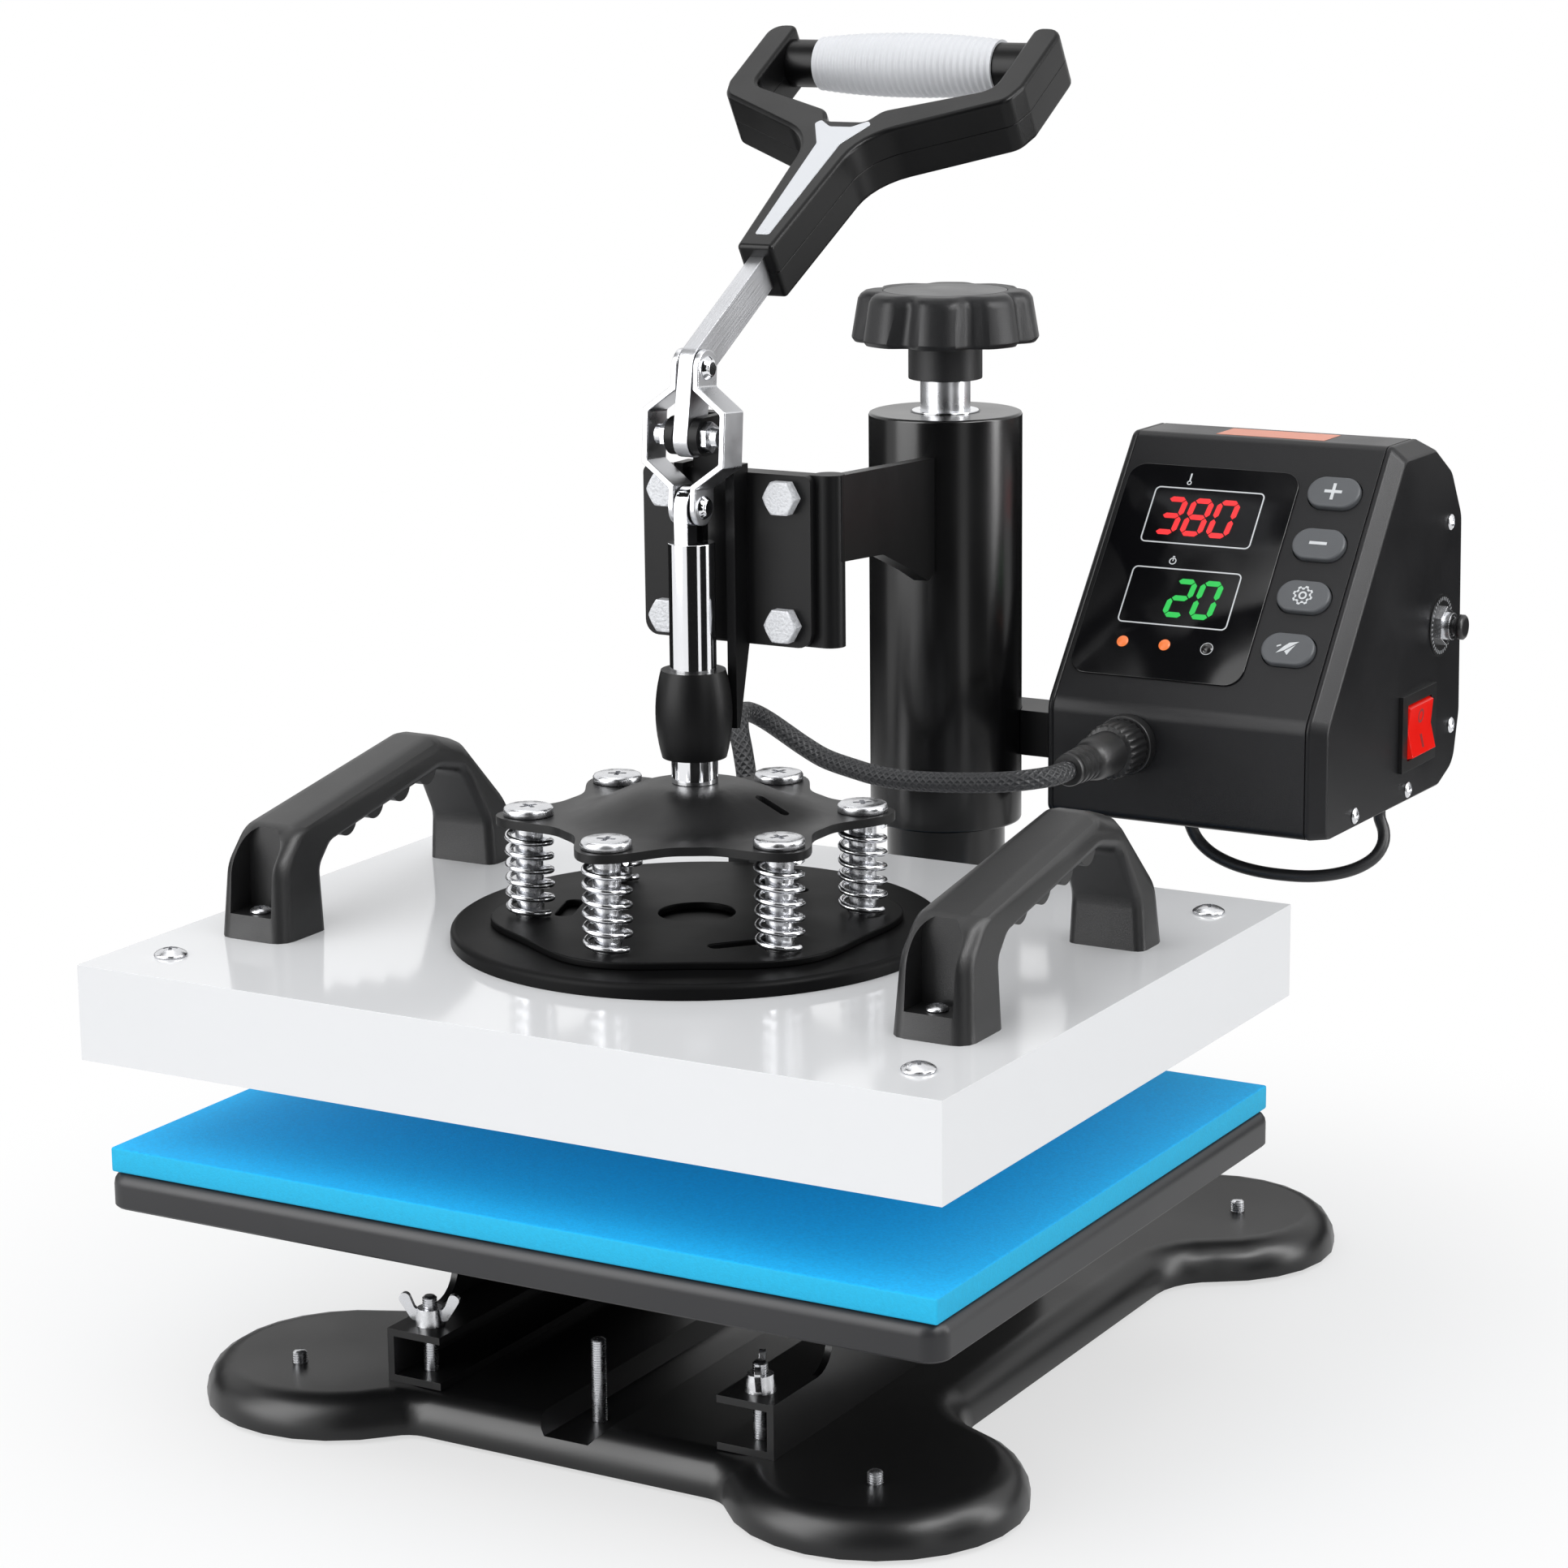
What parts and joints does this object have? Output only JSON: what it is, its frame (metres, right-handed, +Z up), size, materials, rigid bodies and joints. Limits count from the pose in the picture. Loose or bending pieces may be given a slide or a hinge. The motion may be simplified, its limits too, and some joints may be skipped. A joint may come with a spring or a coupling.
{
  "type": "swing-away heat press",
  "caption": "Swing-away heat press: lever and toggle links push a sprung white hot platen onto a blue pad; a column, pressure knob and tilted control box stand behind.",
  "frame": {"origin": "centre of the bounding box at floor level, under the feet", "axes": "+Z up, +X to the operator's right, -Y towards the operator"},
  "size_m": [0.38, 0.5274, 0.5384],
  "materials": {
    "black_paint": "satin",
    "black_cast": "satin black paint",
    "white_paint": "gloss",
    "plate_metal": "matt",
    "mat_wool": "matt",
    "pad_blue": "fine foam",
    "chrome": "polished",
    "steel": "bright",
    "black_plastic": "satin",
    "handle_plastic": "fine grain",
    "grip_white": "ribbed",
    "inlay_silver": "silver",
    "window": "dark gloss",
    "lamp_amber": "gloss",
    "key_grey": "satin",
    "rocker_red": "gloss",
    "board_green": "matt",
    "foot_rubber": "matt",
    "cable_braid": "braided",
    "lead_rubber": "satin"
  },
  "bodies": {
    "base": {"base_pan": "black_paint", "rubber_feet": "foot_rubber", "foot_studs": "steel", "base_studs": "steel", "support_channels": "black_paint", "lower_platen": "black_cast", "sponge_pad": "pad_blue", "column_post": "black_paint"},
    "wing_left": {"wing_nut_left": "steel"},
    "wing_right": {"wing_nut_right": "steel"},
    "lift": {"thrust_collar": "chrome"},
    "screw": {"pressure_spindle": "chrome", "pressure_knob": "black_plastic", "knob_cap": "black_plastic"},
    "arm": {"swing_sleeve": "black_paint", "arm_bracket": "black_paint", "clamp_body": "black_paint", "flange_bolts": "steel", "pivot_pin": "steel", "box_shell": "black_paint", "box_side_left": "black_paint", "box_side_right": "black_paint", "box_screws": "steel", "display_window": "window", "status_lights": "lamp_amber", "rocker_bezel": "black_plastic", "breaker_body": "steel", "control_board": "board_green", "box_bracket": "black_paint", "panel_socket": "black_plastic", "cable_plug": "black_plastic", "lead_loop": "lead_rubber", "mains_inlet": "black_plastic"},
    "plus_key": {"button_plus": "key_grey"},
    "minus_key": {"button_minus": "key_grey"},
    "set_key": {"button_set": "key_grey"},
    "start_key": {"button_start": "key_grey"},
    "rocker": {"rocker_switch": "rocker_red"},
    "breaker_cap": {"breaker_button": "black_plastic"},
    "lever": {"lever_bar": "steel", "handle_front_half": "handle_plastic", "handle_back_half": "handle_plastic", "handle_inlay": "inlay_silver", "ribbed_grip": "grip_white"},
    "links": {"toggle_links": "chrome", "link_rivets": "chrome"},
    "ram": {"plunger": "chrome", "pressure_plate": "black_paint", "pressure_springs": "chrome"},
    "platen": {"seat_disc": "black_paint", "disc_plate": "black_paint", "spring_screws": "chrome", "heater_cover": "white_paint", "heating_plate": "plate_metal", "insulation_mat": "mat_wool", "platen_screws": "steel", "platen_handle_left": "handle_plastic", "platen_handle_right": "handle_plastic", "cable_gland": "black_plastic", "heater_cable": "cable_braid"}
  },
  "joints": [
    {"name": "left_wing_turn", "type": "hinge", "parent": "base", "child": "wing_left", "pos_m": [-0.076, -0.19525, 0.044], "axis": [0, 0, 1], "continuous": true},
    {"name": "right_wing_turn", "type": "hinge", "parent": "base", "child": "wing_right", "pos_m": [0.076, -0.19525, 0.044], "axis": [0, 0, 1], "continuous": true},
    {"name": "arm_height", "type": "slide", "parent": "base", "child": "lift", "axis": [0, 0, 1], "range_m": [0, 0.012]},
    {"name": "arm_swing", "type": "hinge", "parent": "lift", "child": "arm", "pos_m": [0, 0.10175, 0.28], "axis": [0, 0, 1], "range_deg": [-180, 180]},
    {"name": "knob_turn", "type": "hinge", "parent": "lift", "child": "screw", "pos_m": [0, 0.10175, 0.4], "axis": [0, 0, 1], "range_deg": [-5, 1085]},
    {"name": "lever_pull", "type": "hinge", "parent": "arm", "child": "lever", "pos_m": [0, -0.11125, 0.3894], "axis": [1, 0, 0], "range_deg": [0, 133.25]},
    {"name": "link_swing", "type": "hinge", "parent": "lever", "child": "links", "pos_m": [0, -0.1071, 0.41557], "axis": [1, 0, 0], "range_deg": [-105.38, 0.5]},
    {"name": "ram_travel", "type": "slide", "parent": "arm", "child": "ram", "axis": [0, 0, -1], "range_m": [-0.0003, 0.0369]},
    {"name": "platen_float", "type": "slide", "parent": "ram", "child": "platen", "axis": [0, 0, 1], "range_m": [0, 0.006], "stiffness_N_per_m": 30000, "springref_m": -0.006, "deforming": ["pressure_springs"]},
    {"name": "plus_press", "type": "slide", "parent": "arm", "child": "plus_key", "axis": [0, 0.7848, -0.6198], "range_m": [0, 0.0012], "stiffness_N_per_m": 900, "springref_m": -0.0008},
    {"name": "minus_press", "type": "slide", "parent": "arm", "child": "minus_key", "axis": [0, 0.7848, -0.6198], "range_m": [0, 0.0012], "stiffness_N_per_m": 900, "springref_m": -0.0008},
    {"name": "set_press", "type": "slide", "parent": "arm", "child": "set_key", "axis": [0, 0.7848, -0.6198], "range_m": [0, 0.0012], "stiffness_N_per_m": 900, "springref_m": -0.0008},
    {"name": "start_press", "type": "slide", "parent": "arm", "child": "start_key", "axis": [0, 0.7848, -0.6198], "range_m": [0, 0.0012], "stiffness_N_per_m": 900, "springref_m": -0.0008},
    {"name": "power_rock", "type": "hinge", "parent": "arm", "child": "rocker", "pos_m": [0.175, 0.20675, 0.231], "axis": [0, 1, 0], "range_deg": [0, 8]},
    {"name": "breaker_press", "type": "slide", "parent": "arm", "child": "breaker_cap", "axis": [-1, 0, 0], "range_m": [0, 0.002], "stiffness_N_per_m": 900, "springref_m": -0.001}
  ],
  "couplings": [
    {"joint": "knob_turn", "follows": "arm_height", "rad_per_m": 1570.8},
    {"joint": "link_swing", "follows": "lever_pull", "ratio": -0.78709},
    {"joint": "ram_travel", "follows": "lever_pull", "m_per_rad": 0.015737}
  ]
}
